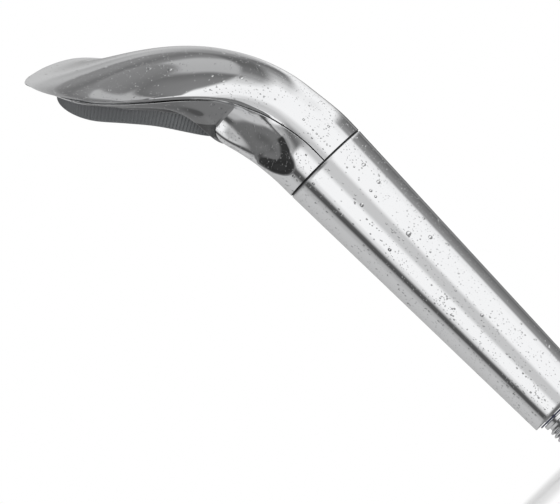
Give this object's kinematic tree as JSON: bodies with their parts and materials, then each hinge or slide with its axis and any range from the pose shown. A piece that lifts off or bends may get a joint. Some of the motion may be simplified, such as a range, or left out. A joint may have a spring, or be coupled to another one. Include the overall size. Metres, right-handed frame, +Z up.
{
  "type": "handheld bath sprayer",
  "caption": "Hand-held sprayer: a tapered chrome handle runs into a leaf-shaped head with a raised nozzle face beneath it, over a swivelling threaded hose inlet.",
  "frame": {"origin": "centre of the hose inlet's end face, on the swivel's axis", "axes": "+Z up the handle toward the head, -Y the way the head leans and its nozzles face, X across the head"},
  "size_m": [0.0712, 0.08, 0.2402],
  "materials": {
    "chrome": "polished chrome plating on plastic",
    "plated_brass": "bright chrome plating on brass",
    "steel": "plain stainless spring steel",
    "face_plastic": "satin grey moulding",
    "silicone": "soft dark silicone",
    "seal_rubber": "black seal rubber",
    "inner_plastic": "plain grey moulding",
    "tube_plastic": "pale plastic tube",
    "valve_plastic": "blue moulded valve parts"
  },
  "bodies": {
    "sprayer": {"head_top_shell": "chrome", "head_bottom_shell": "chrome", "face_bezel": "chrome", "handle_sleeve": "chrome", "end_plug": "plated_brass", "spray_plate": "face_plastic", "nozzle_mat": "silicone", "chamber_seal": "seal_rubber", "seam_gasket": "seal_rubber", "coupler_tube_seal": "seal_rubber", "coupler_elbow_seal": "seal_rubber", "socket_seal": "seal_rubber", "water_chamber": "inner_plastic", "neck_collar": "inner_plastic", "tube_support_ring": "inner_plastic", "tube_coupler": "inner_plastic", "tube_socket": "inner_plastic", "feed_elbow": "tube_plastic", "water_tube": "tube_plastic", "thrust_washer": "tube_plastic"},
    "connector": {"swivel_connector": "plated_brass", "swivel_seal_low": "seal_rubber", "swivel_seal_high": "seal_rubber", "retaining_clip": "steel", "inlet_strainer": "steel", "flow_regulator": "valve_plastic", "valve_seat": "valve_plastic", "spring_stop": "valve_plastic", "valve_spring": "steel"},
    "poppet": {"valve_poppet": "valve_plastic", "poppet_seal": "seal_rubber"}
  },
  "joints": [
    {"name": "inlet_swivel", "type": "hinge", "parent": "sprayer", "child": "connector", "pos_m": [0, 0, 0], "axis": [0, 0, 1], "continuous": true},
    {"name": "check_valve_lift", "type": "slide", "parent": "connector", "child": "poppet", "axis": [0, 0, 1], "range_m": [0, 0.002], "stiffness_N_per_m": 60, "springref_m": -0.003, "deforming": ["valve_spring"]}
  ]
}
